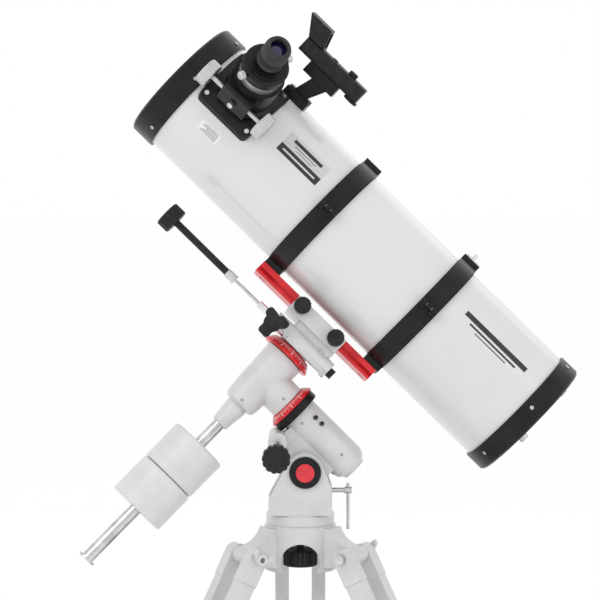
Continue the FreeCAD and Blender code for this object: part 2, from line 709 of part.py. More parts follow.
def tube_shell():
    low, high = TUBE_REAR + 8, TUBE_FRONT - 4
    shell = along_tube([(low, TUBE_R - TUBE_WALL), (low, TUBE_R), (high, TUBE_R), (high, TUBE_R - TUBE_WALL)])
    return shell.cut(put(cylinder(V(0, 0, 60), Z, DRAWTUBE_R + 3, 60), focuser_place()))


def front_ring():
    low = TUBE_FRONT - FRONT_RING_LENGTH
    return along_tube([(low, TUBE_R), (low, END_RING_R - 1), (low + 1, END_RING_R),
                       (TUBE_FRONT - 3, END_RING_R), (TUBE_FRONT, END_RING_R - 3), (TUBE_FRONT, 87),
                       (TUBE_FRONT - 4, 87), (TUBE_FRONT - 4, TUBE_R)])


def rear_cell():
    high = TUBE_REAR + REAR_RING_LENGTH
    ring = along_tube([(high, TUBE_R), (high, END_RING_R - 1), (high - 1, END_RING_R),
                       (TUBE_REAR + 3, END_RING_R), (TUBE_REAR, END_RING_R - 3), (TUBE_REAR, 30),
                       (TUBE_REAR + 8, 30), (TUBE_REAR + 8, TUBE_R)])
    for angle in range(0, 360, 120):
        way = V(0, cos(radians(angle)), sin(radians(angle)))
        ring = ring.cut(cylinder(V(TUBE_REAR - 1, TUBE_OUT, 0) + way * 62, X, 3.4, 12))
    return ring


def mirror_cell():
    return along_tube([(TUBE_REAR + 12, 0), (TUBE_REAR + 12, 78), (TUBE_REAR + 18, 78), (TUBE_REAR + 18, 0)])


def collimation_screws():
    screws = []
    for angle in range(0, 360, 120):
        way = V(0, cos(radians(angle)), sin(radians(angle)))
        at = V(TUBE_REAR, TUBE_OUT, 0) + way * 62
        knob = ribbed(at - X * 0.2, X * -1, 7, 8, 10, 1.1)
        screws.append(fuse([knob, cylinder(at - X * 2, X, 3, 14)]))
    return together(screws)


def primary_mirror():
    return along_tube([(TUBE_REAR + 18, 0), (TUBE_REAR + 18, MIRROR_R), (TUBE_REAR + 38, MIRROR_R),
                       (TUBE_REAR + 37, 50), (TUBE_REAR + 36.3, 0)])


def secondary_mirror():
    """A 45-degree slice of a cylinder that faces the focuser."""
    low, high = FOCUSER_AT - 40, FOCUSER_AT + 60
    rod = along_tube([(low, 0), (low, 20), (high, 20), (high, 0)])
    slab = block([-100, -60, 0], [100, 60, 5])
    slab.Placement = FreeCAD.Placement(O, FreeCAD.Rotation(Y, -45))
    return rod.common(put(slab, focuser_place()))


def secondary_holder():
    rod = along_tube([(FOCUSER_AT - 10, 0), (FOCUSER_AT - 10, 18.5), (FOCUSER_AT + 40, 18.5),
                      (FOCUSER_AT + 40, 0)])
    keep = block([-200, -60, 5], [200, 60, 120])
    keep.Placement = FreeCAD.Placement(O, FreeCAD.Rotation(Y, -45))
    return rod.common(put(keep, focuser_place()))


def spider():
    at = FOCUSER_AT + 40
    parts = [along_tube([(at, 0), (at, 14), (at + 12, 14), (at + 12, 0)])]
    for angle in (67, 157, 247, 337):
        vane = block([0, -0.6, 10], [12, 0.6, TUBE_R - TUBE_WALL])
        parts.append(put(vane, around_tube(angle, at)))
    return fuse(parts)


def end_screws():
    """Silver screws round both end rings."""
    screws = []
    for along in (TUBE_REAR + 19, TUBE_FRONT - 27):
        for angle in range(0, 360, 60):
            screw = socket_screw(V(0, 0, END_RING_R), Z, 2.8, 1.6)
            screws.append(put(screw, around_tube(angle, along)))
    return together(screws)


# ---- focuser, in its own frame: z out along its axis ----
def focuser_base():
    saddle = block([-46, -50, 70], [46, 50, 100])
    saddle = soften(saddle, 8, lambda c, e: e.BoundBox.ZLength > 29)
    saddle = put(saddle, focuser_place())
    saddle = saddle.cut(cylinder(V(200, TUBE_OUT, 0), X, TUBE_R, 200))
    crown = cylinder(V(200, TUBE_OUT, 0), X, 101, 200)
    saddle = saddle.common(crown)
    return saddle.cut(put(cylinder(V(0, 0, 60), Z, DRAWTUBE_R + RUN, 60), focuser_place()))


def focuser_housing():
    barrel = cylinder(V(0, 0, 100), Z, 36, 55)
    flange = lathe([(100, 0), (100, 42), (106, 42), (108, 36), (108, 0)])
    pinion_box = block([-24, 20, 104], [24, 44, 146])
    pinion_box = soften(pinion_box, 5, lambda c, e: e.BoundBox.XLength > 47 and c.y > 40)
    body = fuse([barrel, flange, pinion_box])
    body = body.cut(cylinder(V(0, 0, 90), Z, DRAWTUBE_R + RUN, 80))
    return body.cut(cylinder(V(-60, 37, 125), X, 3 + RUN, 120))


def focus_drawtube():
    return lathe([(98, 27), (98, DRAWTUBE_R), (170, DRAWTUBE_R), (170, 27)])


def focuser_adapter():
    ring = lathe([(170, EYEPIECE_BARREL_R), (170, 31), (171, 32), (184, 32), (186, 27), (193, 27),
                  (193, EYEPIECE_BARREL_R)])
    for angle in (70, 250):
        way = V(cos(radians(angle)), sin(radians(angle)), 0)
        ring = ring.cut(cylinder(V(0, 0, 178) + way * 20, way, 2.5, 20))
    return ring


def adapter_screws():
    screws = []
    for angle in (70, 250):
        way = V(cos(radians(angle)), sin(radians(angle)), 0)
        knob = ribbed(V(0, 0, 178) + way * 33, way, 6, 9, 10, 0.9)
        screws.append(fuse([knob, cylinder(V(0, 0, 178) + way * 22, way, 2.5, 12)]))
    return together(screws)


def eyepiece():
    return lathe([(171, 13), (171, EYEPIECE_BARREL_R), (193, EYEPIECE_BARREL_R), (193, 17), (197, 18.5),
                  (206, 18.5), (208, 17), (214, 17), (216, 19), (232, 18.5), (237, 16.5), (237, 12),
                  (231, 12), (231, 13)])


def focus_knobs():
    shaft = cylinder(V(-60, 37, 125), X, 3, 120)
    parts = [shaft]
    for side in (-1, 1):
        parts.append(ribbed(V(side * 44, 37, 125), X * side, 19, 16, 24, 1.5))
    return fuse(parts)


def focuser_screws():
    """The tension screw on the pinion box and the four bolts of the base."""
    screws = [ribbed(V(0, 44, 125), Y, 5, 8, 10, 0.8)]
    for x in (-38, 38):
        for angle in (-24, 24):
            place = around_tube(FOCUSER_ANGLE + angle, FOCUSER_AT)
            head = socket_screw(V(x, 0, 101), Z, 3.2, 2.5)
            screws.append(put(head, place, focuser_place().inverse()))
    return together(screws)


# ---- finder, in its own frame: z radially out ----
def finder_place():
    return around_tube(FINDER_ANGLE, 243)


def finder_shoe():
    shoe = block([-20, -17, 80], [20, 17, 104])
    shoe = shoe.cut(block([-30, -9, 99], [30, 9, 110]))
    shoe = put(shoe, finder_place())
    return shoe.cut(cylinder(V(100, TUBE_OUT, 0), X, TUBE_R, 300))


def finder_clip():
    """The chrome thumbscrew that clamps the stalk in its shoe."""
    knob = ribbed(V(0, -17.2, 101.5), Y * -1, 5.5, 8, 10, 0.8)
    return knob


def finder_stalk():
    foot_block = block([-18, -8.8, 99], [18, 8.8, 106])
    stem = outline_xz([(-12, 105), (10, 105), (2, 134), (-26, 134)], -7, 7)
    clamp = block([-35, -11, 132], [20, 11, 149])
    return fuse([foot_block, stem, clamp])


def finder_body():
    body = block([-65, -14, 149], [45, 14, 172])
    return soften(body, 4, lambda c, e: e.BoundBox.XLength > 100)


def finder_hood():
    outside = outline_xz([(17, 172), (45, 172), (65, 199), (26, 199)], -17, 17)
    inside = outline_xz([(0, 175), (60, 175), (80, 195), (10, 195)], -13, 13)
    return outside.cut(inside)


def finder_knob():
    return ribbed(V(-36, 0, 172.3), Z, 7, 6, 12, 0.9)


def finder_wheel():
    return ribbed(V(-57, 0, 144.7), Z, 11, 4, 24, 0.8)


# ---- nodes ----
def tripod_nodes():
    nodes = {"tripod_head": tripod_head(), "head_knob": head_knob(), "leg_hinge_bolts": hinge_bolts(),
             "leg_wing_nuts": wing_nuts(), "spreader_hub": spreader_hub(), "spreader_tray": spreader_tray()}
    for number, angle in enumerate(LEG_ANGLES, 1):
        place = leg_frame(angle)
        leg = f"leg_{number}_"
        frame = [rail(-1), rail(1), rail_casting(-1), rail_casting(1), clamp_bracket(), brace_bracket()]
        nodes[leg + "frame"] = put(together(frame), place)
        nodes[leg + "clamp_knob"] = put(clamp_knob(), place)
        nodes[leg + "extension"] = put(extension(), place)
        nodes[leg + "foot"] = foot(angle)
        nodes[leg + "brace"] = brace(angle)
    return nodes


def mount_nodes():
    polar_rod, polar_knob = polar_handle()
    dec_rod, dec_knob = dec_handle()
    lock_knob, lock_stud = dec_lock()
    housing = together([polar_housing(), polar_cap(), polar_screws()])
    saddle_block = together([worm_housing(), worm_cap(), worm_screws()])
    inner = together([counterweight(WEIGHT_INNER_AT), weight_screw(WEIGHT_INNER_AT)])
    outer = together([counterweight(WEIGHT_OUTER_AT), weight_screw(WEIGHT_OUTER_AT)])
    nodes = {
        "azimuth_base": azimuth_base(),
        "altitude_bolt": together([altitude_bolt(), altitude_collars()]),
        "altitude_caps": altitude_caps(),
        "latitude_screw": latitude_screw(),
    }
    in_mount_frame = {
        "polar_housing": housing, "polar_ring": polar_ring(), "polar_circle": polar_circle(),
        "polar_handle": together([polar_rod, polar_knob]),
    }
    in_head_frame = {
        "dec_housing": together([dec_housing(), bar_socket()]),
        "counterweight_bar": together([counterweight_bar(), bar_stop()]),
        "weight_inner": inner, "weight_outer": outer, "dec_circle": dec_circle(),
    }
    in_dec_frame = {
        "worm_housing": saddle_block,
        "dec_handle": together([dec_rod, dec_knob]), "dec_lock": together([lock_knob, lock_stud]),
        "saddle_plate": saddle_plate(), "saddle_knob_front": saddle_knob(32),
        "saddle_knob_rear": saddle_knob(-32),
    }
    nodes.update({name: put(shape, MOUNT) for name, shape in in_mount_frame.items()})
    nodes.update({name: put(shape, HEAD_FRAME) for name, shape in in_head_frame.items()})
    nodes.update({name: put(shape, DEC_FRAME) for name, shape in in_dec_frame.items()})
    return nodes


def tube_nodes():
    front, rear = RING_CENTRES
    on_tube = {
        "dovetail_bar": dovetail_bar(),
        "ring_lowers": together([half_ring(front, False), half_ring(rear, False)]),
        "ring_pins": together([ring_pins(), ring_bolts()]),
        "ring_upper_front": together([half_ring(front, True), ring_clamp(front)]),
        "ring_upper_rear": together([half_ring(rear, True), ring_clamp(rear)]),
        "camera_stud": camera_stud(),
        "tube_shell": tube_shell(), "front_ring": front_ring(),
        "rear_cell": together([rear_cell(), mirror_cell()]),
        "tube_screws": together([end_screws(), collimation_screws(), put(focuser_screws(), focuser_place()),
                                 put(finder_clip(), finder_place())]),
        "mirrors": together([primary_mirror(), secondary_mirror()]),
        "spider": together([spider(), secondary_holder()]),
    }
    on_focuser = {
        "focuser_housing": together([put(focuser_base(), focuser_place().inverse()), focuser_housing()]),
        "focus_drawtube": together([focus_drawtube(), adapter_screws()]),
        "focuser_adapter": focuser_adapter(), "eyepiece": eyepiece(), "focus_knobs": focus_knobs(),
    }
    on_finder = {
        "finder_mount": together([put(finder_shoe(), finder_place().inverse()), finder_stalk()]),
        "finder_body": together([finder_body(), finder_hood(), finder_knob()]),
        "finder_wheel": finder_wheel(),
    }
    nodes = {name: put(shape, DEC_FRAME) for name, shape in on_tube.items()}
    nodes.update({name: put(shape, focuser_place(), DEC_FRAME) for name, shape in on_focuser.items()})
    nodes.update({name: put(shape, finder_place(), DEC_FRAME) for name, shape in on_finder.items()})
    return nodes


def footprint_centre(nodes):
    """The centre of everything's bounding box, on the floor."""
    box = Part.makeCompound(list(nodes.values())).BoundBox
    return V((box.XMin + box.XMax) / 2, (box.YMin + box.YMax) / 2, 0)


def main():
    os.makedirs("parts", exist_ok=True)
    nodes = {**tripod_nodes(), **mount_nodes(), **tube_nodes()}
    back = FreeCAD.Placement(footprint_centre(nodes) * -1, FreeCAD.Rotation())
    for name, shape in nodes.items():
        put(shape, back).exportStep(f"parts/{name}.step")


if __name__ == "__main__":
    main()
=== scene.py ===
import json
from math import cos, pi, radians, sin

import bmesh
import bpy
from mathutils import Matrix, Quaternion, Vector


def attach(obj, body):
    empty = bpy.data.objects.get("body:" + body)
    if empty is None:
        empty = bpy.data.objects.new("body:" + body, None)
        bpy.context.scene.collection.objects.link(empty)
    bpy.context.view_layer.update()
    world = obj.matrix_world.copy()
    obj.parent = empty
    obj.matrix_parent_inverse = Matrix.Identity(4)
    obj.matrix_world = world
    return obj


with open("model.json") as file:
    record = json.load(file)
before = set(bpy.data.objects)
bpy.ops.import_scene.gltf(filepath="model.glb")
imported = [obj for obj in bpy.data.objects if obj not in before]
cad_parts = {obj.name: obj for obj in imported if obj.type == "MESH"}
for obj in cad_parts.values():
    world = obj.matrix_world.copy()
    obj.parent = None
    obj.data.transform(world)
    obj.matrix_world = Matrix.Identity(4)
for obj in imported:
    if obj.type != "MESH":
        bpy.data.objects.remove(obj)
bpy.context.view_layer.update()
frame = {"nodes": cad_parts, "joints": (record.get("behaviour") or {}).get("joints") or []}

nodes = frame["nodes"]
joints = {joint["name"]: joint for joint in frame["joints"]}
MM = 0.001
TUBE_RADIUS = 92.0  # millimetres, outside


# ---- places, all taken from the frame's joints ----
def joint_at(name):
    return Vector(joints[name]["pos_m"])


def joint_axis(name):
    return Vector(joints[name]["axis"]).normalized()


def local_frame(origin, x_axis, z_axis):
    """A matrix whose x and z columns are the given directions."""
    x_axis, z_axis = x_axis.normalized(), z_axis.normalized()
    y_axis = z_axis.cross(x_axis)
    rotation = Matrix((x_axis, y_axis, z_axis)).transposed()
    return Matrix.Translation(origin) @ rotation.to_4x4()


TUBE_ALONG = joint_axis("tube_roll")
OUTER_SIDE = joint_axis("dec_axis")
TUBE_CENTRE = joint_at("tube_roll")
FAR_SIDE = TUBE_ALONG.cross(OUTER_SIDE)
POLAR_UP = joint_axis("polar_axis")
AZIMUTH = joint_at("azimuth")


def round_tube(angle, along, radius=0.0):
    """A frame on the tube: x along it, z radially out at an angle in degrees that runs from the
    operator's side (0) to the outer side (90)."""
    out = OUTER_SIDE * sin(radians(angle)) - FAR_SIDE * cos(radians(angle))
    return local_frame(TUBE_CENTRE + TUBE_ALONG * along + out * radius, TUBE_ALONG, out)


# ---- materials ----
class Shader:
    """A principled material with helpers for its procedural detail."""

    def __init__(self, name, roughness, metallic=0.0, **constants):
        self.material = bpy.data.materials.new(name)
        self.material.use_nodes = True
        self.tree = self.material.node_tree
        self.surface = self.tree.nodes["Principled BSDF"]
        self.surface.inputs["Metallic"].default_value = metallic
        self.surface.inputs["Roughness"].default_value = roughness
        for key, value in constants.items():
            self.surface.inputs[key.replace("_", " ")].default_value = value
        self.coordinates = self.add("ShaderNodeTexCoord").outputs["Object"]
        self.normal = None

    def add(self, kind, **settings):
        node = self.tree.nodes.new(kind)
        for key, value in settings.items():
            setattr(node, key, value)
        return node

    def link(self, source, target):
        self.tree.links.new(source, target)

    def noise(self, scale, detail, stretch=None):
        node = self.add("ShaderNodeTexNoise")
        node.inputs["Scale"].default_value = scale
        node.inputs["Detail"].default_value = detail
        source = self.coordinates
        if stretch:
            mapping = self.add("ShaderNodeMapping")
            mapping.inputs["Scale"].default_value = stretch
            self.link(source, mapping.inputs["Vector"])
            source = mapping.outputs["Vector"]
        self.link(source, node.inputs["Vector"])
        return node.outputs["Fac"]

    def ramp(self, source, stops):
        node = self.add("ShaderNodeValToRGB")
        ramp = node.color_ramp
        while len(ramp.elements) < len(stops):
            ramp.elements.new(0.5)
        for element, (position, colour) in zip(ramp.elements, stops):
            element.position = position
            element.color = (*colour, 1)
        self.link(source, node.inputs["Fac"])
        return node.outputs["Color"]

    def vary_colour(self, source, low, high, start=0.35, end=0.65):
        self.link(self.ramp(source, ((start, low), (end, high))), self.surface.inputs["Base Color"])

    def vary_roughness(self, source, low, high):
        node = self.add("ShaderNodeMapRange")
        node.inputs["To Min"].default_value = low
        node.inputs["To Max"].default_value = high
        self.link(source, node.inputs["Value"])
        self.link(node.outputs["Result"], self.surface.inputs["Roughness"])

    def round_edges(self, radius):
        node = self.add("ShaderNodeBevel", samples=4)
        node.inputs["Radius"].default_value = radius
        self.normal = node.outputs["Normal"]
        self.link(self.normal, self.surface.inputs["Normal"])

    def bump(self, source, height, strength):
        node = self.add("ShaderNodeBump")
        node.inputs["Strength"].default_value = strength
        node.inputs["Distance"].default_value = height
        self.link(source, node.inputs["Height"])
        if self.normal:
            self.link(self.normal, node.inputs["Normal"])
        self.normal = node.outputs["Normal"]
        self.link(self.normal, self.surface.inputs["Normal"])


def tube_enamel():
    """Glossy white paint with a faint orange peel."""
    shader = Shader("tube_enamel", 0.22, Coat_Weight=0.6, Coat_Roughness=0.08)
    shader.vary_colour(shader.noise(5, 3), (0.62, 0.62, 0.625), (0.66, 0.66, 0.66))
    shader.vary_roughness(shader.noise(60, 5), 0.2, 0.3)
    shader.bump(shader.noise(420, 2), 0.00006, 0.35)
    return shader.material


def cast_enamel():
    """White powder coat over a casting: finely pebbled, a little dirt in the broad hollows."""
    shader = Shader("cast_enamel", 0.38, Coat_Weight=0.3, Coat_Roughness=0.2)
    shader.round_edges(0.0012)
    shader.vary_colour(shader.noise(22, 5), (0.54, 0.54, 0.545), (0.60, 0.60, 0.60), 0.3, 0.6)
    shader.vary_roughness(shader.noise(90, 5), 0.3, 0.48)
    shader.bump(shader.noise(900, 3), 0.00012, 0.45)
    return shader.material


def weight_enamel():
    """The counterweights' thicker white paint, a little coarser than the castings'."""
    shader = Shader("weight_enamel", 0.4, Coat_Weight=0.25, Coat_Roughness=0.25)
    shader.round_edges(0.0015)
    shader.vary_colour(shader.noise(30, 6), (0.58, 0.58, 0.585), (0.64, 0.64, 0.64), 0.3, 0.6)
    shader.vary_roughness(shader.noise(70, 5), 0.34, 0.5)
    shader.bump(shader.noise(520, 4), 0.0002, 0.5)
    return shader.material


def black_satin():
    """Black anodised alloy, satin, with polished patches where hands rub it."""
    shader = Shader("black_satin", 0.3, Specular_IOR_Level=0.22, Coat_Weight=0.04, Coat_Roughness=0.2)
    shader.round_edges(0.0008)
    shader.vary_colour(shader.noise(40, 6), (0.005, 0.005, 0.0055), (0.010, 0.010, 0.011))
    shader.vary_roughness(shader.noise(35, 6), 0.24, 0.42)
    shader.bump(shader.noise(1500, 2), 0.00005, 0.4)
    return shader.material


def dark_plastic():
    """Moulded dark-grey plastic with a fine spark-eroded grain."""
    shader = Shader("dark_plastic", 0.45, Specular_IOR_Level=0.25)
    shader.round_edges(0.0008)
    shader.vary_colour(shader.noise(120, 5), (0.009, 0.009, 0.010), (0.018, 0.018, 0.020))
    shader.vary_roughness(shader.noise(200, 4), 0.38, 0.58)
    shader.bump(shader.noise(2200, 2), 0.00009, 0.6)
    return shader.material


def rubber():
    """Matt black rubber with a coarse skin."""
    shader = Shader("rubber", 0.75)
    shader.round_edges(0.001)
    shader.vary_colour(shader.noise(60, 6), (0.016, 0.016, 0.017), (0.04, 0.04, 0.04))
    shader.vary_roughness(shader.noise(300, 5), 0.65, 0.9)
    shader.bump(shader.noise(1400, 3), 0.0002, 0.6)
    return shader.material


def red_anodised():
    """Red anodised alloy; brushed lines run along the bar."""
    shader = Shader("red_anodised", 0.3, 0.35, Coat_Weight=0.2, Coat_Roughness=0.2)
    shader.round_edges(0.0008)
    shader.vary_colour(shader.noise(50, 6), (0.56, 0.006, 0.010), (0.72, 0.016, 0.022))
    shader.vary_roughness(shader.noise(500, 4, (1, 1, 12)), 0.24, 0.4)
    shader.bump(shader.noise(1600, 2), 0.00005, 0.4)
    return shader.material


def red_plastic():
    """Glossy moulded red plastic."""
    shader = Shader("red_plastic", 0.28, Coat_Weight=0.4, Coat_Roughness=0.1)
    shader.round_edges(0.001)
    shader.vary_colour(shader.noise(80, 5), (0.60, 0.008, 0.022), (0.70, 0.016, 0.034))
    shader.vary_roughness(shader.noise(150, 4), 0.22, 0.34)
    return shader.material


def turned_steel():
    """Bright steel with fine turning marks and a few dull patches."""
    shader = Shader("turned_steel", 0.2, 1.0)
    shader.round_edges(0.0005)
    shader.vary_colour(shader.noise(60, 6), (0.48, 0.48, 0.49), (0.66, 0.66, 0.67))
    shader.vary_roughness(shader.noise(260, 6, (1, 6, 1)), 0.12, 0.3)
    shader.bump(shader.noise(1800, 2), 0.00003, 0.4)
    return shader.material


def chrome():
    """Bright plating, nearly a mirror."""
    shader = Shader("chrome", 0.08, 1.0)
    shader.vary_colour(shader.noise(60, 5), (0.62, 0.62, 0.63), (0.74, 0.74, 0.75))
    shader.vary_roughness(shader.noise(200, 6), 0.06, 0.16)
    return shader.material


def silver_anodised():
    """Natural anodised alloy: pale, softly satin."""
    shader = Shader("silver_anodised", 0.32, 0.85)
    shader.round_edges(0.0006)
    shader.vary_colour(shader.noise(70, 6), (0.55, 0.55, 0.56), (0.59, 0.59, 0.60))
    shader.vary_roughness(shader.noise(400, 5), 0.26, 0.42)
    shader.bump(shader.noise(1900, 2), 0.00004, 0.5)
    return shader.material


def mirror_coat():
    """Aluminium on glass."""
    shader = Shader("mirror_coat", 0.02, 1.0)
    shader.vary_colour(shader.noise(12, 3), (0.86, 0.88, 0.90), (0.90, 0.91, 0.92))
    shader.vary_roughness(shader.noise(30, 5), 0.01, 0.04)
    return shader.material


def coated_glass():
    """A lens surface: near black, with a violet coating."""
    shader = Shader("coated_glass", 0.03, Coat_Weight=1.0, Coat_Roughness=0.02,
                    Coat_Tint=(0.6, 0.45, 1.0, 1.0))
    shader.vary_colour(shader.noise(40, 2), (0.012, 0.008, 0.030), (0.022, 0.014, 0.05))
    return shader.material


def clear_glass():
    """The finder's thin window."""
    shader = Shader("clear_glass", 0.02, Transmission_Weight=0.92, IOR=1.45, Alpha=0.45)
    shader.vary_colour(shader.noise(40, 2), (0.75, 0.80, 0.84), (0.80, 0.84, 0.88))
    return shader.material


def flat_black():
    """The tube's inside: matt black paint that kills stray light."""
    shader = Shader("flat_black", 0.9)
    shader.vary_colour(shader.noise(200, 5), (0.006, 0.006, 0.006), (0.014, 0.014, 0.014))
    shader.bump(shader.noise(1500, 3), 0.0001, 0.5)
    return shader.material


def paper(name, low, high, roughness=0.5):
    """Printed paper or film between two colours."""
    shader = Shader(name, roughness)
    shader.vary_colour(shader.noise(300, 4), low, high)
    shader.vary_roughness(shader.noise(150, 3), roughness - 0.08, roughness + 0.08)
    return shader.material


def floor_paint():
    """The studio's seamless white floor."""
    shader = Shader("floor_paint", 0.7)
    shader.vary_colour(shader.noise(2, 3), (0.985, 0.985, 0.985), (0.99, 0.99, 0.99))
    return shader.material


MATERIALS = {maker.__name__: maker() for maker in (
    tube_enamel, cast_enamel, weight_enamel, black_satin, dark_plastic, rubber, red_anodised, red_plastic,
    turned_steel, chrome, silver_anodised, mirror_coat, coated_glass, clear_glass, flat_black, floor_paint)}
MATERIALS["sticker_white"] = paper("sticker_white", (0.70, 0.70, 0.71), (0.78, 0.78, 0.78))
MATERIALS["sticker_grey"] = paper("sticker_grey", (0.50, 0.50, 0.52), (0.58, 0.58, 0.60), 0.35)
MATERIALS["print_grey"] = paper("print_grey", (0.16, 0.16, 0.17), (0.24, 0.24, 0.25))
MATERIALS["print_black"] = paper("print_black", (0.012, 0.012, 0.013), (0.025, 0.025, 0.026), 0.3)
MATERIALS["dial_white"] = paper("dial_white", (0.72, 0.70, 0.68), (0.82, 0.80, 0.78))

NODE_FINISH = {
    "cast_enamel": ["tripod_head", "azimuth_base", "polar_housing", "dec_housing", "worm_housing",
                    "saddle_plate", "leg_wing_nuts", "spreader_hub"],
    "weight_enamel": ["weight_inner", "weight_outer"],
    "turned_steel": ["leg_hinge_bolts", "latitude_screw", "counterweight_bar", "ring_pins", "tube_screws"],
    "chrome": ["camera_stud"],
    "black_satin": ["altitude_bolt", "polar_ring", "ring_lowers", "ring_upper_front", "ring_upper_rear",
                    "focuser_housing", "focuser_adapter", "front_ring", "rear_cell", "spider",
                    "finder_mount"],
    "red_plastic": ["altitude_caps"],
    "red_anodised": ["polar_circle", "dec_circle", "dovetail_bar"],
    "dark_plastic": ["head_knob", "polar_handle", "dec_handle", "dec_lock", "saddle_knob_front",
                     "saddle_knob_rear", "eyepiece", "finder_body", "finder_wheel", "spreader_tray"],
    "tube_enamel": ["tube_shell"],
    "silver_anodised": ["focus_drawtube", "focus_knobs"],
    "mirror_coat": ["mirrors"],
    "rubber": [],
}
for leg in (1, 2, 3):
    NODE_FINISH["cast_enamel"] += [f"leg_{leg}_frame", f"leg_{leg}_brace"]
    NODE_FINISH["silver_anodised"].append(f"leg_{leg}_extension")
    NODE_FINISH["rubber"].append(f"leg_{leg}_foot")
    NODE_FINISH["dark_plastic"].append(f"leg_{leg}_clamp_knob")


def finish_nodes():
    for finish, names in NODE_FINISH.items():
        for name in names:
            mesh = nodes[name].data
            mesh.materials.clear()
            mesh.materials.append(MATERIALS[finish])
            for polygon in mesh.polygons:
                polygon.material_index = 0


def zone(name, finish, inside):
    """Gives the faces of a node whose centre passes a test another finish."""
    mesh = nodes[name].data
    mesh.materials.append(MATERIALS[finish])
    index = len(mesh.materials) - 1
    for polygon in mesh.polygons:
        if inside(polygon.center):
            polygon.material_index = index


def distance_along(origin, axis):
    """Measures a point's distance along an axis, in millimetres."""
    return lambda point: (point - origin).dot(axis) / MM


def distance_from(origin, axis):
    """Measures a point's distance from an axis, in millimetres."""
    return lambda point: (point - origin).cross(axis).length / MM


# all in millimetres, from the joint, axis or tube centre that each function names
EDGE = 0.1
HANDLES = (  # node, joint, which way the handle runs, end of the chrome sleeve, end of the steel ferrule
    ("dec_handle", "dec_slow_motion", 1, 25, 87.5),
    ("polar_handle", "polar_slow_motion", -1, 73, 116),
)
LOCK_STUD_END = 49.2
WORM_CAP_START = -109.3
WORM_SCREW_DEPTH = 16.3
WORM_SCREW_SPANS = ((-60, -40), (-90, -75))
POLAR_SCREW_SPAN = (84, 104)
POLAR_SCREW_RADII = (27.2, 33)
POLAR_SCREW_SIDE = -18
TUBE_INSIDE = 91.2
SECONDARY_HOLDER = 15
MIRROR_EDGE = 74.6
BARREL_END = 192.8
EYECUP_START = 214.5


def finish_handles():
    """Chrome sleeve, then a steel rod and ferrule; the grip and the knob stay dark plastic."""
    for name, joint, sign, sleeve_end, ferrule_end in HANDLES:
        along = distance_along(joint_at(joint), joint_axis(joint) * sign)
        zone(name, "chrome", lambda p: along(p) < sleeve_end + EDGE)
        zone(name, "turned_steel", lambda p: sleeve_end + EDGE < along(p) < ferrule_end - EDGE)
    along_lock = distance_along(joint_at("dec_lock_turn"), joint_axis("dec_lock_turn"))
    zone("dec_lock", "chrome", lambda p: along_lock(p) < LOCK_STUD_END)


def finish_castings():
    """The declination worm's dark end cap and its screws, and the dark screws on the polar housing."""
    along_worm = distance_along(joint_at("dec_slow_motion"), TUBE_ALONG)
    zone("worm_housing", "dark_plastic", lambda p: along_worm(p) < WORM_CAP_START)
    depth = distance_along(joint_at("dec_lock_turn"), -FAR_SIDE)
    zone("worm_housing", "turned_steel", lambda p: depth(p) > WORM_SCREW_DEPTH
         and any(low < along_worm(p) < high for low, high in WORM_SCREW_SPANS))
    crossing = joint_at("polar_axis")
    down = distance_along(crossing, -POLAR_UP)
    from_polar = distance_from(crossing, POLAR_UP)
    far_side = distance_along(crossing, Vector((0, 1, 0)))
    zone("polar_housing", "print_black", lambda p: POLAR_SCREW_SPAN[0] < down(p) < POLAR_SCREW_SPAN[1]
         and POLAR_SCREW_RADII[0] < from_polar(p) < POLAR_SCREW_RADII[1] and far_side(p) < POLAR_SCREW_SIDE)


def finish_optics():
    """Matt black inside the tube and on the vanes; eyepiece parts; the main mirror's ground edge."""
    from_tube = distance_from(TUBE_CENTRE, TUBE_ALONG)
    zone("tube_shell", "flat_black", lambda p: from_tube(p) < TUBE_INSIDE)
    zone("spider", "flat_black", lambda p: from_tube(p) > SECONDARY_HOLDER)
    up_focuser = distance_along(TUBE_CENTRE, joint_axis("focus_travel"))
    zone("eyepiece", "rubber", lambda p: up_focuser(p) > EYECUP_START)
    zone("eyepiece", "chrome", lambda p: up_focuser(p) < BARREL_END)
    zone("mirrors", "sticker_grey", lambda p: from_tube(p) > MIRROR_EDGE)


# ---- mesh helpers ----
PATCH_CREASE = radians(40)
TURNED_CREASE = radians(35)
SAME_POINT = 1e-7  # metres


def piece(name, mesh, finish, body):
    mesh.materials.append(MATERIALS[finish])
    item = bpy.data.objects.new(name, mesh)
    bpy.context.scene.collection.objects.link(item)
    if body:
        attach(item, body)
    return item


def mesh_from(name, work, smooth=True):
    mesh = bpy.data.meshes.new(name)
    bmesh.ops.recalc_face_normals(work, faces=work.faces)
    work.to_mesh(mesh)
    work.free()
    for polygon in mesh.polygons:
        polygon.use_smooth = smooth
    return mesh


def add_solid(work, corners):
    """An eight-cornered solid: four corners of one face, then the four across from them."""
    verts = [work.verts.new(corner) for corner in corners]
    for face in ((3, 2, 1, 0), (4, 5, 6, 7), (0, 1, 5, 4), (1, 2, 6, 5), (2, 3, 7, 6), (3, 0, 4, 7)):
        work.faces.new([verts[index] for index in face])


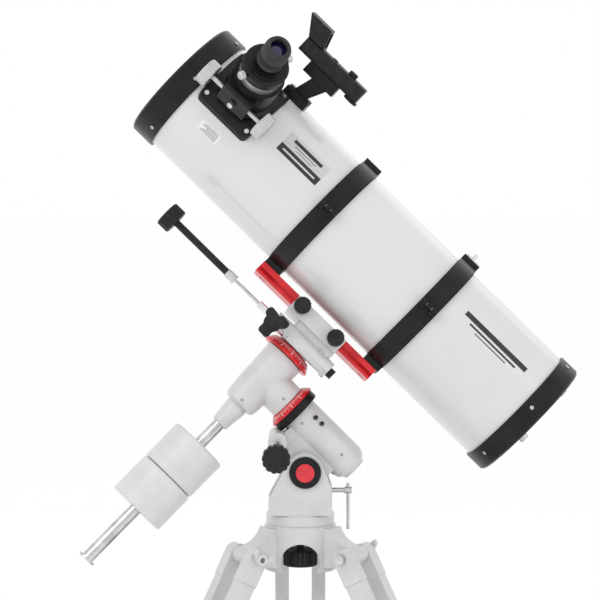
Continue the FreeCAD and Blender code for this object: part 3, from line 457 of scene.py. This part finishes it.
def curved_patch(name, angles, along, lift, thick, finish, columns):
    """A thin skin on the tube between two angles and two distances along it."""
    radius = TUBE_RADIUS * MM + lift
    work = bmesh.new()
    low, high = angles
    rows = []
    for index in range(columns + 1):
        angle = low + (high - low) * index / columns
        ring = []
        for level in (radius, radius + thick):
            for distance in along:
                ring.append(work.verts.new(round_tube(angle, distance * MM, level).translation))
        rows.append(ring)
    for first, second in zip(rows, rows[1:]):
        work.faces.new((first[0], first[1], second[1], second[0]))
        work.faces.new((first[3], first[2], second[2], second[3]))
        work.faces.new((first[2], first[0], second[0], second[2]))
        work.faces.new((first[1], first[3], second[3], second[1]))
    work.faces.new((rows[0][0], rows[0][2], rows[0][3], rows[0][1]))
    work.faces.new((rows[-1][1], rows[-1][3], rows[-1][2], rows[-1][0]))
    mesh = mesh_from(name, work)
    mesh.set_sharp_from_angle(angle=PATCH_CREASE)
    return piece(name, mesh, finish, "tube")


def turned(name, profile, place, finish, body, steps=64):
    """A closed (along, radius) outline in millimetres, turned about the z axis of a frame."""
    work = bmesh.new()
    rings = []
    for index in range(steps):
        turn = 2 * pi * index / steps
        ring = []
        for height, radius in profile:
            spot = Vector((radius * MM * cos(turn), radius * MM * sin(turn), height * MM))
            ring.append(work.verts.new(place @ spot))
        rings.append(ring)
    for index, here in enumerate(rings):
        there = rings[(index + 1) % steps]
        for point in range(len(profile)):
            after = (point + 1) % len(profile)
            work.faces.new((here[point], here[after], there[after], there[point]))
    bmesh.ops.remove_doubles(work, verts=work.verts, dist=SAME_POINT)
    mesh = mesh_from(name, work)
    mesh.set_sharp_from_angle(angle=TURNED_CREASE)
    return piece(name, mesh, finish, body)


# ---- pieces, in millimetres ----
DIAL_MARKS = 72
MARK_SIZES = (  # every so many marks, share of the cone's length, half width
    (6, 0.72, 0.42),
    (2, 0.5, 0.28),
    (1, 0.34, 0.28),
)
MARK_START = 0.12  # share of the cone's length
MARK_LIFTS = (-0.15, 0.16)
POLAR_CONE = ((47.4, 29.0), (55.6, 37.0))
DEC_CONE = ((56.0, 31.0), (45.0, 39.0))


def dial(name, body, origin, axis, start, end):
    """Graduations on a setting circle's cone, from (along, radius) to (along, radius)."""
    side = axis.orthogonal().normalized()
    work = bmesh.new()
    for index in range(DIAL_MARKS):
        out = Quaternion(axis, 2 * pi * index / DIAL_MARKS) @ side
        across = axis.cross(out)
        reach, half = next(size for every, *size in MARK_SIZES if index % every == 0)
        near, far = MARK_START, MARK_START + reach
        corners = []
        for lift in MARK_LIFTS:
            for part, sign in ((near, -1), (far, -1), (far, 1), (near, 1)):
                along = start[0] + (end[0] - start[0]) * part
                radius = start[1] + (end[1] - start[1]) * part + lift
                on_cone = origin + (axis * along + out * radius) * MM
                corners.append(on_cone + across * half * sign * MM)
        add_solid(work, corners)
    return piece(name, mesh_from(name, work, smooth=False), "dial_white", body)


def dials():
    crossing = joint_at("polar_axis")
    dial("polar_dial", "polar_circle", crossing, -POLAR_UP, *POLAR_CONE)
    dial("dec_dial", "dec_circle", crossing, OUTER_SIDE, *DEC_CONE)


STICKER_LIFT = 0.02 * MM
STICKER_THICKNESS = 0.12 * MM
PRINT_THICKNESS = 0.06 * MM
PLATE_ALONG = (135, 209)
TUBE_BARS = (  # degrees round the tube, millimetres along it
    ((18.5, 23.5), (-250, -136)),
    ((14.5, 16.3), (-236, -150)),
    ((11.5, 12.4), (-222, -164)),
)


def sticker(name, angles, along, finish, columns=14):
    return curved_patch(name, angles, along, STICKER_LIFT, STICKER_THICKNESS, finish, columns)


def printed(name, angles, along, finish, columns=3):
    """A bar printed on a sticker."""
    return curved_patch(name, angles, along, STICKER_THICKNESS, PRINT_THICKNESS, finish, columns)


def tube_labels():
    """Plain stand-ins for the tube's stickers and mark: no lettering, only neutral bars."""
    sticker("sticker_small", (-29, -20), (272, 308), "sticker_white")
    for index in range(5):
        low = -28 + index * 1.6
        printed(f"sticker_small_line_{index}", (low, low + 0.7), (276, 304 - 4 * (index % 3)), "print_grey")
    sticker("sticker_plate", (14.4, 28.7), PLATE_ALONG, "sticker_grey")
    sticker("sticker_plate_band", (6.4, 14.4), PLATE_ALONG, "print_black")
    printed("sticker_plate_bar_0", (22.0, 25.5), (146, 198), "print_black", 5)
    printed("sticker_plate_bar_1", (19.2, 20.2), (152, 192), "print_grey")
    printed("sticker_plate_bar_2", (16.6, 17.4), (158, 186), "print_grey")
    printed("sticker_plate_bar_3", (9.6, 11.2), (142, 202), "sticker_grey")
    for index, (angles, along) in enumerate(TUBE_BARS):
        sticker(f"tube_bar_{index}", angles, along, "print_black", 6)


# outlines as (along, radius); those of the eyepiece are measured from the tube's axis
EYE_LENS = [(224, 0), (224, 12.8), (227.5, 12.8), (229, 9), (229.8, 4.5), (230, 0)]
GRIP_ENDS = ((198, 18.2), (206.2, 18.2))
FIRST_RIB = ((198.2, 18.55), (198.6, 18.85), (199.2, 18.85), (199.6, 18.55))
RIBS, RIB_PITCH = 5, 1.7


def eyepiece_glass():
    """The eye lens, and the ribbed rubber grip round the eyepiece."""
    axis = joint_axis("focus_travel")
    foot = TUBE_CENTRE + TUBE_ALONG * (joint_at("focus_knob_turn") - TUBE_CENTRE).dot(TUBE_ALONG)
    place = local_frame(foot, TUBE_ALONG, axis)
    turned("eyepiece_lens", EYE_LENS, place, "coated_glass", "drawtube")
    ribs = [(height + rib * RIB_PITCH, radius) for rib in range(RIBS) for height, radius in FIRST_RIB]
    turned("eyepiece_grip", [GRIP_ENDS[0], *ribs, GRIP_ENDS[1]], place, "rubber", "drawtube", 96)


FINDER_ANGLE = 72  # degrees round the tube
FINDER_FROM_WHEEL = 57
WINDOW_HALF = 12.8
WINDOW_SIDE = ((34, 175.2), (36, 175.2), (50.6, 194.8), (48.6, 194.8))  # along the tube, out from its axis
EMITTER_AT = (-4, 0, 172)
EMITTER = [(-0.5, 0), (-0.5, 4.5), (1.6, 4.5), (2.2, 3.6), (2.2, 0)]


def finder_glass():
    """The finder's sloping window and the small lens that lights it."""
    from_centre = (joint_at("finder_wheel_turn") - TUBE_CENTRE).dot(TUBE_ALONG)
    place = round_tube(FINDER_ANGLE, from_centre + FINDER_FROM_WHEEL * MM)
    work = bmesh.new()
    corners = [place @ (Vector((along, across, out)) * MM)
               for across in (-WINDOW_HALF, WINDOW_HALF) for along, out in WINDOW_SIDE]
    add_solid(work, corners)
    piece("finder_window", mesh_from("finder_window", work, smooth=False), "clear_glass", "tube")
    emitter = place @ Matrix.Translation(Vector(EMITTER_AT) * MM)
    turned("finder_emitter", EMITTER, emitter, "coated_glass", "tube", 40)


IN_FRONT = Vector((0, -0.3, 0))  # metres, clear of every casting
GRUB_SCREW = [(-1.5, 0), (-1.5, 1.9), (0.25, 1.9), (0.35, 1.6), (0.1, 1.2), (-0.6, 1.1), (-0.7, 0)]
GRUB_SCREW_PLACES = (  # node, body, down the polar axis, along the declination axis
    ("dec_housing", "polar_head", 38, 2),
    ("polar_housing", "polar_body", 80, -4),
    ("dec_housing", "polar_head", -2, -40),
    ("polar_housing", "polar_body", 150, 4),
)


def grub_screws():
    """Small dark set screws let into the castings on the operator's side."""
    crossing = joint_at("polar_axis")
    for index, (name, body, down, out) in enumerate(GRUB_SCREW_PLACES):
        start = crossing + (-POLAR_UP * down + OUTER_SIDE * out) * MM + IN_FRONT
        hit, spot, normal, _ = nodes[name].ray_cast(start, Vector((0, 1, 0)))
        if hit:
            place = local_frame(spot, normal.orthogonal(), normal)
            turned(f"grub_screw_{index}", GRUB_SCREW, place, "print_black", body, 24)


FELT_HALF = 15
FELT_RADII = (TUBE_RADIUS + 0.1, TUBE_RADIUS + 0.35)


def ring_felt():
    """Thin felt that lines both rings and shows as a dark edge beside the tube."""
    inner, outer = FELT_RADII
    profile = [(-FELT_HALF, inner), (-FELT_HALF, outer), (FELT_HALF, outer), (FELT_HALF, inner)]
    for name, joint in (("front", "ring_front_open"), ("rear", "ring_rear_open")):
        along = (joint_at(joint) - TUBE_CENTRE).dot(TUBE_ALONG)
        place = local_frame(TUBE_CENTRE + TUBE_ALONG * along, OUTER_SIDE, TUBE_ALONG)
        turned(f"ring_felt_{name}", profile, place, "flat_black", "cradle", 128)


# ---- stage, in metres ----
FLOOR_HALF = 30
LIGHTS = (  # name, place, size, watts
    ("key", (-2.2, -2.8, 3.0), (2.0, 2.0), 24),
    ("fill", (2.6, -2.2, 1.6), (1.6, 2.4), 8),
    ("rim", (1.5, 2.6, 2.6), (2.4, 1.2), 3),
)
LIGHT_AIM_HEIGHT = 1.0
CAMERA_AIM = Vector((-0.0004, AZIMUTH.y, 1.0268))
CAMERA_DISTANCE = 3.345
CAMERA_ELEVATION = radians(4.0)


def studio_floor():
    work = bmesh.new()
    corners = [work.verts.new((x * FLOOR_HALF, y * FLOOR_HALF, 0))
               for x, y in ((-1, -1), (1, -1), (1, 1), (-1, 1))]
    work.faces.new(corners)
    floor = piece("floor", mesh_from("floor", work), "floor_paint", None)


def area_light(name, place, aim, size, power):
    data = bpy.data.lights.new(name, "AREA")
    data.shape = "RECTANGLE"
    data.size, data.size_y = size
    data.energy = power
    lamp = bpy.data.objects.new(name, data)
    lamp.location = place
    lamp.rotation_mode = "QUATERNION"
    lamp.rotation_quaternion = (Vector(aim) - Vector(place)).to_track_quat("-Z", "Y")
    bpy.context.scene.collection.objects.link(lamp)


def studio_light():
    aim = (0, AZIMUTH.y, LIGHT_AIM_HEIGHT)
    for name, place, size, power in LIGHTS:
        area_light(name, place, aim, size, power)
    world = bpy.data.worlds.new("studio")
    world.use_nodes = True
    background = world.node_tree.nodes["Background"]
    background.inputs["Color"].default_value = (1.0, 1.0, 1.0, 1)
    background.inputs["Strength"].default_value = 1.0
    bpy.context.scene.world = world
    bpy.context.scene.view_settings.view_transform = "Standard"


def camera():
    """Eye level with the mount, square to the polar plane, through a long lens."""
    data = bpy.data.cameras.new("camera")
    data.lens = 144.0
    data.sensor_width = 36.0
    eye = bpy.data.objects.new("camera", data)
    back = Vector((0, -cos(CAMERA_ELEVATION), sin(CAMERA_ELEVATION)))
    eye.location = CAMERA_AIM + back * CAMERA_DISTANCE
    eye.rotation_mode = "QUATERNION"
    eye.rotation_quaternion = (CAMERA_AIM - eye.location).to_track_quat("-Z", "Y")
    data.clip_start, data.clip_end = 0.1, 100
    bpy.context.scene.collection.objects.link(eye)
    bpy.context.scene.camera = eye


camera()
studio_light()
studio_floor()
finish_nodes()
finish_handles()
finish_castings()
finish_optics()
dials()
tube_labels()
eyepiece_glass()
finder_glass()
grub_screws()
ring_felt()
